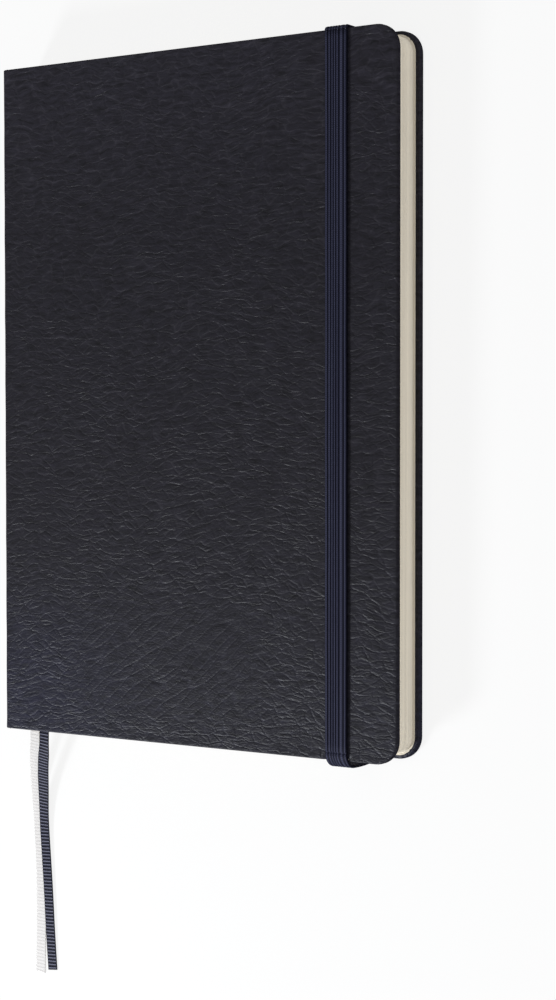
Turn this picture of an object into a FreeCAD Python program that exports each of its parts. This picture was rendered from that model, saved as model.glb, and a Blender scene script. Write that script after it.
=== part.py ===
import FreeCAD, Part
import math
import os

# Pilot logbook: a hard-covered, case-bound book that lies closed on its back cover.
# Millimetres. +X runs from the spine to the fore-edge, +Y from the tail to the head,
# +Z out of the front cover. The origin is the middle of the back cover's outer face.

V = FreeCAD.Vector

# overall sizes
cover_width = 145.0
cover_height = 210.0
book_thickness = 15.1

# covers
leather = 0.5               # outer skin
turn_in = 0.3               # pared leather folded inside the board
turn_in_width = 13.0
board = 1.4
paste = 0.15                # endpaper thickness
corner_radius = 7.0         # fore-edge corners
edge_round = 0.45           # worn edge of the leather
board_to_joint = 1.6        # flexible strip between the board and the joint line
infill_gap = 0.2

# spine
spine_board = 0.8
spine_board_gap = 0.15
hollow = 0.15               # between the spine's turn-ins and the text block's lining

# text block
head_square = 1.7           # cover overhang at head and tail
fore_square = 2.0           # cover overhang at the fore-edge
leaf_gap = 0.05
pastedown_past = 0.6        # how far the pastedown reaches past the leaves
cover_gap = 0.1
section_count = 10
fold_round = 0.4
tip_width = 4.0             # glued margin of the front endpaper

# sewing and linings
mull = 0.2
mull_inset = 14.0
lining = 0.15
lining_inset = 9.5
thread = 0.5
kerf_gap = 0.1
station_count = 5
station_inset = 18.0
end_gap = 0.1

# head and tail bands
bead = 1.0
bead_tab = 7.0
bead_tab_thick = 0.2

# ribbon markers
ribbon_width = 3.8
ribbon_thick = 0.3
ribbon_gap = 0.1            # room pressed into the leaves around a ribbon
ribbon_tab = 5.0
light_section = 4           # sections below each ribbon
navy_section = 6
ribbon_space = 1.7          # between the two ribbons where they leave the pages

# elastic closure
band_width = 7.0
band_thick = 0.9
band_inset = 19.9           # band's middle to the fore-edge
band_gap = 0.05
band_inner_round = 0.4
slit_inset = 15.0           # slit's middle to the cover's head or tail edge
slit_width = 1.3
slit_play = 0.2
anchor_length = 20.0
anchor_press = 0.8          # the glued ends are pressed to this share of the band's thickness

# making
past = 1.0                  # how far a cutting solid runs past what it cuts
near = 0.001                # places closer than this count as the same
arc_reach = 0.45            # share of the shorter neighbouring run that a route's arc takes up
fold_share = 0.45           # most of a section's thickness that one rounded fold may take

# worked-out places
half_w = cover_width / 2
half_h = cover_height / 2
cover_thick = leather + board + turn_in
spine_x = -half_w
joint_x = spine_x + cover_thick
top_joint_z = book_thickness - cover_thick
board_x = joint_x + board_to_joint
spine_inner_x = spine_x + leather + spine_board + turn_in
block_x = spine_inner_x + hollow + lining + mull
block_fore_x = half_w - fore_square
block_half_h = half_h - head_square
page_radius = corner_radius - fore_square
board_radius = corner_radius - leather
lowest_leaf_z = cover_thick + paste
first_section_z = lowest_leaf_z + paste
flyleaf_z = top_joint_z - paste - cover_gap - paste
last_section_z = flyleaf_z - leaf_gap
section = (last_section_z - first_section_z) / section_count
flyleaf_x = block_x + tip_width
band_x = half_w - band_inset
channel_depth = band_thick + 2 * band_gap
slit_y = half_h - slit_inset
anchor_thick = band_thick * anchor_press
navy_z = first_section_z + navy_section * section
light_z = first_section_z + light_section * section

# free ribbons: each leaves the tail of the text block level, then falls to the table beyond it.
# A row is how far across from the exit, how far past the pages, and the ribbon's mid-height.
flat = ribbon_thick / 2
light_x = block_x + bead + ribbon_width / 2
navy_x = light_x + ribbon_width + ribbon_space
light_lay = [(0, 6.4, light_z), (-1.9, 14.0, 4.2), (-3.7, 22.8, 1.35), (-4.0, 33.2, flat),
             (-3.2, 44.7, flat), (-2.8, 57.7, flat), (-2.9, 70.7, flat), (-3.25, 83.5, flat)]
navy_lay = [(0, 6.8, navy_z), (-3.0, 14.8, 5.6), (-5.5, 23.8, 2.3), (-6.5, 34.0, 0.85),
            (-5.8, 45.6, 0.6), (-5.0, 57.8, 0.52), (-4.4, 70.0, 0.45), (-3.7, 82.2, flat)]


def box(x0, x1, y0, y1, z0, z1):
    return Part.makeBox(x1 - x0, y1 - y0, z1 - z0, V(x0, y0, z0))


def plate(x0, x1, half_y, z0, z1, radius):
    """A plate with square corners at the spine and rounded ones at the fore-edge."""
    k = radius * (1 - math.sqrt(0.5))
    edges = [
        Part.LineSegment(V(x0, -half_y, z0), V(x1 - radius, -half_y, z0)),
        Part.Arc(V(x1 - radius, -half_y, z0), V(x1 - k, -half_y + k, z0), V(x1, -half_y + radius, z0)),
        Part.LineSegment(V(x1, -half_y + radius, z0), V(x1, half_y - radius, z0)),
        Part.Arc(V(x1, half_y - radius, z0), V(x1 - k, half_y - k, z0), V(x1 - radius, half_y, z0)),
        Part.LineSegment(V(x1 - radius, half_y, z0), V(x0, half_y, z0)),
        Part.LineSegment(V(x0, half_y, z0), V(x0, -half_y, z0)),
    ]
    wire = Part.Wire([e.toShape() for e in edges])
    return Part.Face(wire).extrude(V(0, 0, z1 - z0))


def save(shape, name):
    shape = shape.removeSplitter()
    if not shape.isValid():
        raise ValueError(name + " is not a valid solid")
    shape.exportStep("parts/" + name + ".step")


def flipped(shape):
    """The same piece on the other cover: turned over about the book's mid-height plane."""
    return shape.mirror(V(0, 0, book_thickness / 2), V(0, 0, 1))


# back cover, modelled with its outer face at z = 0; the front cover is its mirror image

def cover_leather():
    """Outer skin, wrapped round three edges of the board and turned in."""
    skin = plate(joint_x, half_w, half_h, 0, cover_thick, corner_radius)
    rims = []
    for edge in skin.Edges:
        low = edge.BoundBox.ZMax < near
        at_joint = edge.BoundBox.XMax < joint_x + near
        if low and not at_joint:
            rims.append(edge)
    skin = skin.makeFillet(edge_round, rims)
    skin = skin.cut(cover_board())
    skin = skin.cut(box(joint_x - past, board_x, -half_h - past, half_h + past, leather, cover_thick + past))
    return skin.cut(inner_window(0))


def cover_board():
    return plate(board_x, half_w - leather, half_h - leather, leather, leather + board, board_radius)


def inner_window(play):
    """The space inside the turn-ins, level with them."""
    x1 = half_w - turn_in_width - play
    half_y = half_h - turn_in_width - play
    return box(board_x, x1, -half_y, half_y, cover_thick - turn_in, cover_thick)


def cover_pastedown():
    z0 = cover_thick
    fore_x = block_fore_x + pastedown_past
    half_y = block_half_h + pastedown_past
    return plate(board_x, fore_x, half_y, z0, z0 + paste, page_radius + pastedown_past)


# spine

def spine_skin():
    """Leather over the spine board, turned in at head and tail."""
    z0 = cover_thick
    z1 = top_joint_z
    skin = box(spine_x, spine_inner_x, -half_h, half_h, z0, z1)
    inner_y = half_h - leather
    skin = skin.cut(box(spine_x + leather, spine_inner_x - turn_in, -inner_y, inner_y, z0, z1))
    between = half_h - turn_in_width
    return skin.cut(box(spine_inner_x - turn_in, spine_inner_x + past, -between, between, z0, z1))


def spine_card():
    x0 = spine_x + leather
    z0 = cover_thick + spine_board_gap
    z1 = top_joint_z - spine_board_gap
    return box(x0, x0 + spine_board, -half_h + leather, half_h - leather, z0, z1)


def joint_strip():
    """Quarter-round leather that bends when the cover opens."""
    centre = V(joint_x, -half_h, cover_thick)
    outer = Part.makeCylinder(cover_thick, cover_height, centre, V(0, 1, 0))
    inner = Part.makeCylinder(cover_thick - leather, cover_height, centre, V(0, 1, 0))
    quarter = box(spine_x, joint_x, -half_h, half_h, 0, cover_thick)
    return outer.cut(inner).common(quarter)


# text block

def ribbon_bed(centre_x, z, play):
    """Ribbon as it lies between two sections, with its tab glued towards the spine."""
    half = ribbon_width / 2 + play
    thick = ribbon_thick / 2 + play
    top = block_half_h - ribbon_tab
    beyond = past if play else 0
    strip = box(centre_x - half, centre_x + half, -block_half_h - beyond, top + play, z - thick, z + thick)
    tab_low = top - ribbon_width - play
    tab = box(block_x - beyond, centre_x + half, tab_low, top + play, z - thick, z + thick)
    return strip.fuse(tab).removeSplitter()


def station_places():
    """Heights at which the sections are sewn, evenly spaced."""
    span = 2 * (block_half_h - station_inset)
    return [-span / 2 + span * i / (station_count - 1) for i in range(station_count)]


def sewing_kerfs():
    deep = thread + kerf_gap
    z0 = first_section_z - past
    z1 = last_section_z + past
    cuts = [box(block_x - past, block_x + deep, y - deep / 2, y + deep / 2, z0, z1) for y in station_places()]
    return Part.Compound(cuts)


def text_section(number):
    z0 = first_section_z + number * section
    body = plate(block_x, block_fore_x, block_half_h, z0, z0 + section, page_radius)
    folds = []
    for edge in body.Edges:
        b = edge.BoundBox
        if b.XMax < block_x + near and b.ZLength < near:
            folds.append(edge)
    body = body.makeFillet(min(fold_round, section * fold_share), folds)
    body = body.cut(sewing_kerfs())
    body = body.cut(ribbon_bed(light_x, light_z, ribbon_gap))
    return body.cut(ribbon_bed(navy_x, navy_z, ribbon_gap))


def sewing_thread():
    z0 = first_section_z + end_gap
    tall = last_section_z - end_gap - z0
    strands = []
    for y in station_places():
        strands.append(Part.makeCylinder(thread / 2, tall, V(block_x + thread / 2, y, z0), V(0, 0, 1)))
    return Part.Compound(strands)


def spine_sheet(x1, thick, inset):
    half_y = block_half_h - inset
    return box(x1 - thick, x1, -half_y, half_y, first_section_z + end_gap, last_section_z - end_gap)


def end_band(side):
    """Rolled bead across the end of the spine, on a short tab glued under it."""
    z0 = first_section_z + end_gap
    tall = last_section_z - end_gap - z0
    r = bead / 2
    x = block_x - bead_tab_thick + r
    roll = Part.makeCylinder(r, tall, V(x, block_half_h + r, z0), V(0, 0, 1))
    tab = box(block_x - bead_tab_thick, block_x, block_half_h - bead_tab, block_half_h + r, z0, z0 + tall)
    band = roll.fuse(tab).removeSplitter()
    return band if side > 0 else band.mirror(V(0, 0, 0), V(0, 1, 0))


# ribbons that hang past the tail

def route_wire(points):
    """Straight runs joined by tangent arcs as large as their runs allow."""
    pts = [V(*p) for p in points]
    edges = []
    radii = []
    start = pts[0]
    for i in range(1, len(pts) - 1):
        back = pts[i - 1] - pts[i]
        ahead = pts[i + 1] - pts[i]
        reach = arc_reach * min(back.Length, ahead.Length)
        turn = math.pi - back.getAngle(ahead)
        radii.append(reach / math.tan(turn / 2))
        back.normalize()
        ahead.normalize()
        enter = pts[i] + back * reach
        leave = pts[i] + ahead * reach
        middle = back + ahead
        middle.normalize()
        middle = pts[i] + middle * (radii[-1] / math.cos(turn / 2) - radii[-1])
        edges.append(Part.LineSegment(start, enter).toShape())
        edges.append(Part.Arc(enter, middle, leave).toShape())
        start = leave
    edges.append(Part.LineSegment(start, pts[-1]).toShape())
    return Part.Wire(edges), radii


def ribbon_tail(x, z, lay, name):
    y = -block_half_h
    path, radii = route_wire([(x, y, z)] + [(x + across, y - past, height) for across, past, height in lay])
    w = ribbon_width / 2
    t = ribbon_thick / 2
    corners = [V(x - w, y, z - t), V(x + w, y, z - t), V(x + w, y, z + t), V(x - w, y, z + t)]
    profile = Part.makePolygon(corners + [corners[0]])
    sweep = Part.BRepOffsetAPI.MakePipeShell(path)
    sweep.setBiNormalMode(V(1, 0, 0))
    sweep.add(profile)
    sweep.build()
    sweep.makeSolid()
    solid = sweep.shape()
    expected = ribbon_width * ribbon_thick * path.Length
    print(name, "length", round(path.Length, 1), "radii", [round(r) for r in radii],
          "volume ratio", round(solid.Volume / expected, 3))
    return solid


# elastic closure

def band_profile(y0, y1, z0, z1, radius):
    """Rounded rectangle across the book, as wide as the band."""
    slab = box(band_x - band_width / 2, band_x + band_width / 2, y0, y1, z0, z1)
    corners = [e for e in slab.Edges if e.BoundBox.YLength < near and e.BoundBox.ZLength < near]
    return slab.makeFillet(radius, corners)


def elastic_band():
    """Strip from one slit round the head, the front cover and the tail to the other slit."""
    y = half_h + band_gap
    z = book_thickness + band_gap
    out = y + band_thick
    outer = band_profile(-out, out, band_gap, z + band_thick, band_inner_round + band_thick)
    inner = band_profile(-y, y, band_gap + band_thick, z, band_inner_round)
    clear = slit_y - slit_width / 2
    opening = box(band_x - band_width, band_x + band_width, -clear, clear, -past, channel_depth)
    return outer.cut(inner).cut(opening)


def elastic_room(side):
    """Channel, slit and glued seat that one end of the elastic takes out of the back cover."""
    x0 = band_x - band_width / 2 - slit_play
    x1 = band_x + band_width / 2 + slit_play
    low = slit_y - slit_width / 2 - band_gap
    high = slit_y + slit_width / 2 + band_gap
    channel = box(x0, x1, low, half_h + past, -past, channel_depth)
    slit = box(x0, x1, low, high, 0, cover_thick)
    seat_end = slit_y - anchor_length - slit_play
    seat = box(x0, x1, seat_end, high, cover_thick - anchor_thick, cover_thick + near)
    bend = box(x0, x1, half_h - band_inner_round, half_h + past, -past, channel_depth + band_inner_round)
    room = channel.fuse(slit).fuse(seat).fuse(bend)
    return room if side > 0 else room.mirror(V(0, 0, 0), V(0, 1, 0))


def elastic_anchor(side):
    """End of the elastic: up through the slit, then glued flat under the pastedown."""
    x0 = band_x - band_width / 2
    x1 = band_x + band_width / 2
    high = slit_y + slit_width / 2
    riser = box(x0, x1, high - band_thick, high, channel_depth, cover_thick)
    tab = box(x0, x1, slit_y - anchor_length, high, cover_thick - anchor_thick, cover_thick)
    anchor = riser.fuse(tab).removeSplitter()
    return anchor if side > 0 else anchor.mirror(V(0, 0, 0), V(0, 1, 0))


def main():
    os.makedirs("parts", exist_ok=True)
    rooms = [elastic_room(1), elastic_room(-1)]

    back_pieces = {"leather": cover_leather(), "board": cover_board(), "infill": inner_window(infill_gap)}
    for name, shape in back_pieces.items():
        save(flipped(shape), "front_" + name)
        for room in rooms:
            shape = shape.cut(room)
        save(shape, "back_" + name)
    save(cover_pastedown(), "back_pastedown")
    save(flipped(cover_pastedown()), "front_pastedown")

    save(spine_skin(), "spine_leather")
    save(spine_card(), "spine_board")
    save(joint_strip(), "rear_joint_leather")
    save(flipped(joint_strip()), "front_joint_leather")

    lowest_leaf = plate(block_x, block_fore_x, block_half_h, lowest_leaf_z, first_section_z, page_radius)
    save(lowest_leaf, "back_flyleaf")
    top = flyleaf_z + paste
    save(plate(flyleaf_x, block_fore_x, block_half_h, flyleaf_z, top, page_radius), "front_flyleaf")
    tip = box(block_x, flyleaf_x - leaf_gap, -block_half_h, block_half_h, last_section_z, top)
    save(tip, "front_endpaper_tip")
    for number in range(section_count):
        save(text_section(number), "section_%02d" % (number + 1))
    save(sewing_thread(), "sewing_thread")
    save(spine_sheet(block_x, mull, mull_inset), "spine_mull")
    save(spine_sheet(block_x - mull, lining, lining_inset), "spine_lining")
    save(end_band(1), "head_band")
    save(end_band(-1), "tail_band")

    save(ribbon_bed(light_x, light_z, 0), "light_ribbon_held")
    save(ribbon_bed(navy_x, navy_z, 0), "navy_ribbon_held")
    save(ribbon_tail(light_x, light_z, light_lay, "light"), "light_ribbon_tail")
    save(ribbon_tail(navy_x, navy_z, navy_lay, "navy"), "navy_ribbon_tail")

    save(elastic_band(), "elastic_band")
    save(elastic_anchor(1), "elastic_anchor_head")
    save(elastic_anchor(-1), "elastic_anchor_tail")


main()
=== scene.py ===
import math
import bmesh
import bpy
import numpy as np
from mathutils import Matrix, Vector


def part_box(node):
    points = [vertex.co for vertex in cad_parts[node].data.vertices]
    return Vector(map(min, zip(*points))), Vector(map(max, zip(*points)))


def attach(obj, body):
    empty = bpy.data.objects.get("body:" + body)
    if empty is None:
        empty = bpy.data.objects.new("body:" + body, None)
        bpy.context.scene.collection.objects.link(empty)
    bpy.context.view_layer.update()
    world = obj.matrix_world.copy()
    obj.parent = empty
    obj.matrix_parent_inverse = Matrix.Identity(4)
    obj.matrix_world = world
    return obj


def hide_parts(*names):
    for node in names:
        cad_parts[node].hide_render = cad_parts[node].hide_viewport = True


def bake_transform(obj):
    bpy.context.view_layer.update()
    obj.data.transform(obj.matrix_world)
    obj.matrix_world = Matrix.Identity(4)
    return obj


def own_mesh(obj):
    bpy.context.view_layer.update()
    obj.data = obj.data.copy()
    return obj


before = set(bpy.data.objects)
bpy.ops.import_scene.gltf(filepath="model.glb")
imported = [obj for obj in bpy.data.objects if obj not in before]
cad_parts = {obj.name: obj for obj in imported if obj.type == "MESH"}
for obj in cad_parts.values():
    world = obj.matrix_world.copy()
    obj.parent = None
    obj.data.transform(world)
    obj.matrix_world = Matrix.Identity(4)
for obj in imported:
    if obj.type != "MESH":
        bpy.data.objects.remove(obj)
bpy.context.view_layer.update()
mm = 0.001
join, steps = np.concatenate, np.linspace
print("frame loaded:", len(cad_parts), "nodes")

# places that the pieces share, all read from the frame
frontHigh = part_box("front_leather")[1]
backLow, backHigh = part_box("back_leather")
book = {
    "spineX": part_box("spine_leather")[0].x,
    "foreX": frontHigh.x,
    "halfHeight": frontHigh.y,
    "top": frontHigh.z,
    "coverThick": backHigh.z,
    "jointX": backLow.x,
    "boardX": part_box("front_board")[0].x,
    "cornerRadius": 7 * mm,
    "pageRadius": 5 * mm,
}


def makePiece(name, points, faces, uv=None, smooth=True):
    # a mesh from whole arrays; uv has one pair for each corner of each face
    mesh = bpy.data.meshes.new(name)
    mesh.from_pydata(points.tolist(), [], faces if isinstance(faces, list) else faces.tolist())
    if uv is not None:
        layer = mesh.uv_layers.new(name="surface")
        layer.data.foreach_set("uv", np.asarray(uv, np.float32).ravel())
    mesh.polygons.foreach_set("use_smooth", np.full(len(mesh.polygons), smooth))
    mesh.update()
    piece = bpy.data.objects.new(name, mesh)
    bpy.context.scene.collection.objects.link(piece)
    return piece


def gridQuads(rows, columns, wrapRows=False, wrapColumns=False):
    # corner indices of a rows x columns grid whose points are numbered row by row
    i = np.arange(rows if wrapRows else rows - 1)
    j = np.arange(columns if wrapColumns else columns - 1)
    i, j = [a.ravel() for a in np.meshgrid(i, j, indexing="ij")]
    iNext, jNext = (i + 1) % rows, (j + 1) % columns
    return np.stack([i * columns + j, iNext * columns + j, iNext * columns + jNext, i * columns + jNext], 1)


def gridUv(u, v):
    # u for each row and v for each column, one more of either where the grid wraps
    i, j = [a.ravel() for a in np.meshgrid(np.arange(len(u) - 1), np.arange(len(v) - 1), indexing="ij")]
    return np.stack([np.stack([u[i], v[j]], 1), np.stack([u[i + 1], v[j]], 1),
                     np.stack([u[i + 1], v[j + 1]], 1), np.stack([u[i], v[j + 1]], 1)], 1)


def smooth(x, low, high):
    t = np.clip((x - low) / (high - low), 0, 1)
    return t * t * (3 - 2 * t)


def gridRim(columns, rows, closed=False):
    # indices along one side, the last column and the other side, and the first column where closed
    last = columns - 1
    sides = [np.arange(columns) * rows, last * rows + np.arange(1, rows),
             np.arange(last - 1, -1, -1) * rows + rows - 1]
    return join(sides + [np.arange(rows - 2, 0, -1)] if closed else sides)


def pathLength(line):
    # distance along a line of points, from 0 at its first
    return join([[0], np.cumsum(np.linalg.norm(np.diff(line, axis=0), axis=1))])


def giveTo(piece, material, nodes, body=None):
    # the piece's material, the CAD nodes it stands for, its slot, and the one body it rides on
    piece.data.materials.append(material)
    if body:
        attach(piece, body)
    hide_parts(*nodes)


def toned(colour, share):
    return tuple(c * share for c in colour)


shaderInputs = {
    "colour": "Base Color",
    "normal": "Normal",
    "roughness": "Roughness",
    "specular": "Specular IOR Level",
    "sheen": "Sheen Weight",
    "glow": "Emission Strength",
    "glowColour": "Emission Color",
}


class Tree:
    # the nodes of a material or world: each method adds one and gives back its output socket

    def __init__(self, owner):
        owner.use_nodes = True
        self.owner = owner
        self.nodes, self.links = owner.node_tree.nodes, owner.node_tree.links

    def feed(self, socket, value):
        if isinstance(value, bpy.types.NodeSocket):
            self.links.new(value, socket)
        elif socket.type == "RGBA":
            socket.default_value = (*value, 1)
        else:
            socket.default_value = value

    def add(self, kind, inputs, output=0, **settings):
        node = self.nodes.new("ShaderNode" + kind)
        for key, value in settings.items():
            setattr(node, key, value)
        for key, value in inputs.items():
            self.feed(node.inputs[key], value)
        return node.outputs[output]

    def math(self, operation, *values, clamp=False):
        return self.add("Math", dict(enumerate(values)), operation=operation, use_clamp=clamp)

    def times(self, first, second):
        return self.math("MULTIPLY", first, second)

    def line(self, value, gain, offset, clamp=False):
        # value times gain plus offset
        return self.math("MULTIPLY_ADD", value, gain, offset, clamp=clamp)

    def size(self, value):
        return self.math("ABSOLUTE", value)

    def humps(self, value, rate):
        # the absolute sine, one hump for each pi
        return self.size(self.math("SINE", self.times(value, rate)))

    def ramp(self, source, *stops):
        # colours along a 0 to 1 value, each stop a place and a colour
        node = self.nodes.new("ShaderNodeValToRGB")
        elements = node.color_ramp.elements
        while len(elements) < len(stops):
            elements.new(0.5)
        for element, (place, colour) in zip(elements, stops):
            element.position = place
            element.color = (*colour, 1)
        self.feed(node.inputs[0], source)
        return node.outputs[0]

    def mix(self, share, first, second):
        return self.add("Mix", {0: share, 6: first, 7: second}, 2, data_type="RGBA")

    def bump(self, height, distance, strength):
        return self.add("Bump", {"Height": height, "Distance": distance, "Strength": strength})

    def mapped(self, source, scale, turn=0.0):
        return self.add("Mapping", {"Vector": source, "Scale": scale, "Rotation": (0, 0, turn)})

    def noise(self, place, scale, detail=3.0, rough=0.5, distortion=0.0, output="Fac"):
        inputs = {"Vector": place, "Scale": scale, "Detail": detail, "Roughness": rough,
                  "Distortion": distortion}
        return self.add("TexNoise", inputs, output)

    def range(self, value, low, high, start=0.0, end=1.0, kind="LINEAR"):
        inputs = {"Value": value, "From Min": low, "From Max": high, "To Min": start, "To Max": end}
        return self.add("MapRange", inputs, interpolation_type=kind)

    def parts(self, vector):
        return self.add("SeparateXYZ", {0: vector}).node.outputs[:]

    def surface(self):
        return self.add("UVMap", {}, uv_map="surface")

    def inObject(self):
        return self.add("TexCoord", {}, "Object")

    def shade(self, **values):
        shader = self.nodes["Principled BSDF"]
        for key, value in values.items():
            self.feed(shader.inputs[shaderInputs[key]], value)
        return self.owner


def newTree(name):
    return Tree(bpy.data.materials.new(name))


# camera

camera = {
    "place": (372.38 * mm, -10.56 * mm, 530.92 * mm),
    "turn": math.radians(33.396),    # off the cover's normal, towards the fore-edge
    "rise": math.radians(1.804),
    "roll": math.radians(-0.041),
    "lens": 76.01,
}


def makeCamera():
    turn, rise, roll = camera["turn"], camera["rise"], camera["roll"]
    back = Vector((math.sin(turn) * math.cos(rise), math.sin(rise), math.cos(turn) * math.cos(rise)))
    right = Vector((math.cos(turn), 0, -math.sin(turn)))
    up = back.cross(right)
    rolledRight = right * math.cos(roll) + up * math.sin(roll)
    rolledUp = up * math.cos(roll) - right * math.sin(roll)
    data = bpy.data.cameras.new("bookCamera")
    data.lens = camera["lens"]
    data.sensor_width = 36
    eye = bpy.data.objects.new("bookCamera", data)
    axes = Matrix((rolledRight, rolledUp, back)).transposed().to_4x4()
    eye.matrix_world = Matrix.Translation(camera["place"]) @ axes
    bpy.context.scene.collection.objects.link(eye)
    bpy.context.scene.camera = eye


makeCamera()
print("camera set")


# ribbon markers

ribbon = {
    "width": 3.8 * mm,
    "thick": 0.30 * mm,
    "ribPitch": 1.09 * mm,
    "ribDepth": 0.08 * mm,
    "ribRound": 0.7,
    "twist": math.radians(10),    # while it falls from the pages
    "twistGrows": (6 * mm, 12 * mm),
    "twistFades": (34 * mm, 20 * mm),
    "cuppedFrom": 12 * mm,
    "samplesPerRib": 8,
    "selvedge": 0.28 * mm,
    "selvedgeThin": 0.75,
    "rim": 0.1 * mm,
    "rimThin": 0.35,
    "cutEnd": 2 * mm,             # the slanted cut's reach back from the end
    "threadPitch": 0.17 * mm,
    "threads": (900, 5200, 1),    # noise a metre, along and across
    "ribHighlightSharp": 4.0,
    "tones": (0.46, 0.95),        # where on the ramp the groove's painted shade and the rib's painted highlight stand
    "blotches": 160.0,
    "specular": 0.08,
}
flat = ribbon["thick"] / 2 / mm
# a lay is across from the exit, past the pages, and the mid-height, in millimetres, as the solids lie
markers = {
    "light_ribbon": {
        "cloth": "lightRibbonCloth",
        "lay": [(0, 6.4, None), (-1.9, 14.0, 4.2), (-3.7, 22.8, 1.35), (-4.0, 33.2, flat),
                (-3.2, 44.7, flat), (-2.8, 57.7, flat), (-2.9, 70.7, flat), (-3.25, 83.5, flat)],
        # rib: a crest's colour with painted highlight; groove: the colour between crests with painted shade
        "rib": (0.74, 0.72, 0.705),
        "groove": (0.65, 0.63, 0.62),
        "edge": (0.63, 0.61, 0.595),
        "rough": 0.63,
        "cupping": 0.02 * mm,
        "endSlant": 0.10,
    },
    "navy_ribbon": {
        "cloth": "navyRibbonCloth",
        "lay": [(0, 6.8, None), (-3.0, 14.8, 5.6), (-5.5, 23.8, 2.3), (-6.5, 34.0, 0.85),
                (-5.8, 45.6, 0.6), (-5.0, 57.8, 0.52), (-4.4, 70.0, 0.45), (-3.7, 82.2, flat)],
        "rib": (0.175, 0.180, 0.245),
        "groove": (0.0035, 0.0036, 0.0120),
        "edge": (0.006, 0.0065, 0.013),
        "rough": 0.58,
        "cupping": 0.03 * mm,
        "endSlant": -0.06,
    },
}


def ribbonRoute(held, lay):
    # the exit point at the tail of the pages, then the points of the lay
    low, high = held
    exitPoint = Vector((high.x - ribbon["width"] / 2, low.y, (low.z + high.z) / 2))
    points = [exitPoint]
    for across, past, height in lay:
        z = exitPoint.z if height is None else height * mm
        points.append(Vector((exitPoint.x + across * mm, exitPoint.y - past * mm, z)))
    return points


def alongRoute(name, points):
    # evenly fine points of the route's own smooth spline
    curve = bpy.data.curves.new(name, "CURVE")
    curve.dimensions = "3D"
    spline = curve.splines.new("NURBS")
    spline.points.add(len(points) - 1)
    for target, p in zip(spline.points, points):
        target.co = (*p, 1)
    spline.order_u = 3
    spline.use_endpoint_u = True
    spline.resolution_u = 40
    holder = bpy.data.objects.new(name, curve)
    bpy.context.scene.collection.objects.link(holder)
    bpy.context.view_layer.update()
    line = bpy.data.meshes.new_from_object(holder.evaluated_get(bpy.context.evaluated_depsgraph_get()))
    path = np.array([v.co for v in line.vertices])
    bpy.data.objects.remove(holder)
    bpy.data.curves.remove(curve)
    bpy.data.meshes.remove(line)
    return path


def resample(path, spacing):
    along = pathLength(path)
    count = int(round(along[-1] / spacing)) + 1
    places = steps(0, along[-1], count)
    return np.stack([np.interp(places, along, path[:, k]) for k in range(3)], 1), places


def makeRibbon(name, look):
    # A flat strip carried along the route. Half its thickness swells and thins as the absolute
    # sine of the distance along it, once for each rib, and the selvedges stay level.
    path = alongRoute(name, ribbonRoute(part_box(name + "_held"), look["lay"]))
    line, along = resample(path, ribbon["ribPitch"] / ribbon["samplesPerRib"])
    tangent = np.gradient(line, axis=0)
    tangent /= np.linalg.norm(tangent, axis=1)[:, None]
    across = np.array([1.0, 0, 0]) - tangent * tangent[:, :1]
    across /= np.linalg.norm(across, axis=1)[:, None]
    lift = np.cross(across, tangent)
    lift *= np.sign(lift[:, 2:3])
    falling = smooth(along, *ribbon["twistGrows"]) * smooth(along, *ribbon["twistFades"])
    twist = ribbon["twist"] * falling[:, None]
    across, lift = (across * np.cos(twist) - lift * np.sin(twist),
                    lift * np.cos(twist) + across * np.sin(twist))
    half, rim = ribbon["width"] / 2, ribbon["rim"]
    inner = half - ribbon["selvedge"]
    top = join([[-half, -half + rim], steps(-inner, inner, 11), [half - rim, half]])
    section = join([top, top[::-1]])
    side = join([np.ones(len(top)), -np.ones(len(top))])
    rib = np.abs(np.sin(np.pi * along[:, None] / ribbon["ribPitch"])) ** ribbon["ribRound"]
    endRound = np.where(np.abs(section) > half - rim / 2, ribbon["rimThin"], 1.0)
    swell = np.where(np.abs(section) > inner, ribbon["selvedgeThin"],
                     1 - (1 - rib) * 2 * ribbon["ribDepth"] / ribbon["thick"])
    height = side * ribbon["thick"] / 2 * swell * endRound
    cup = look["cupping"] * (1 - (section / half) ** 2)
    height = height + cup * smooth(along, 0, ribbon["cuppedFrom"])[:, None]
    slant = look["endSlant"] * section * smooth(along, along[-1] - ribbon["cutEnd"], along[-1])[:, None]
    points = (line[:, None, :] + across[:, None, :] * section[None, :, None]
              + lift[:, None, :] * height[:, :, None] + tangent[:, None, :] * slant[:, :, None])
    points[:, :, 2] = np.maximum(points[:, :, 2], 0)
    rows, columns = points.shape[:2]
    quads = [gridQuads(rows, columns, wrapColumns=True)]
    uv = [gridUv(along, np.append(section, section[0]))]
    k = np.arange(len(top) - 1)
    for row, way in ((0, 1), (rows - 1, -1)):
        cap = row * columns + np.stack([k, k + 1, columns - 2 - k, columns - 1 - k], 1)
        capUv = np.stack([np.full(cap.shape, along[row]), section[cap - row * columns]], 2)
        quads.append(cap[:, ::way])
        uv.append(capUv[:, ::way])
    piece = makePiece(name, points.reshape(-1, 3), join(quads), join(uv))
    outwards(piece)
    giveTo(piece, ribbonMaterial(look), [name + "_tail"], "book_block_and_back")
    length = float(pathLength(line)[-1])
    print(name, "is", round(length / mm, 1), "mm past the pages")


def outwards(piece):
    # turns every face outwards on a closed piece, by the sign of its volume
    mesh = piece.data
    co = np.zeros(len(mesh.vertices) * 3)
    mesh.vertices.foreach_get("co", co)
    co = co.reshape(-1, 3)
    mesh.calc_loop_triangles()
    tri = np.zeros(len(mesh.loop_triangles) * 3, np.int32)
    mesh.loop_triangles.foreach_get("vertices", tri)
    a, b, c = [co[tri.reshape(-1, 3)[:, k]] for k in range(3)]
    if np.einsum("ij,ij->i", a, np.cross(b, c)).sum() < 0:
        mesh.flip_normals()


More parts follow.
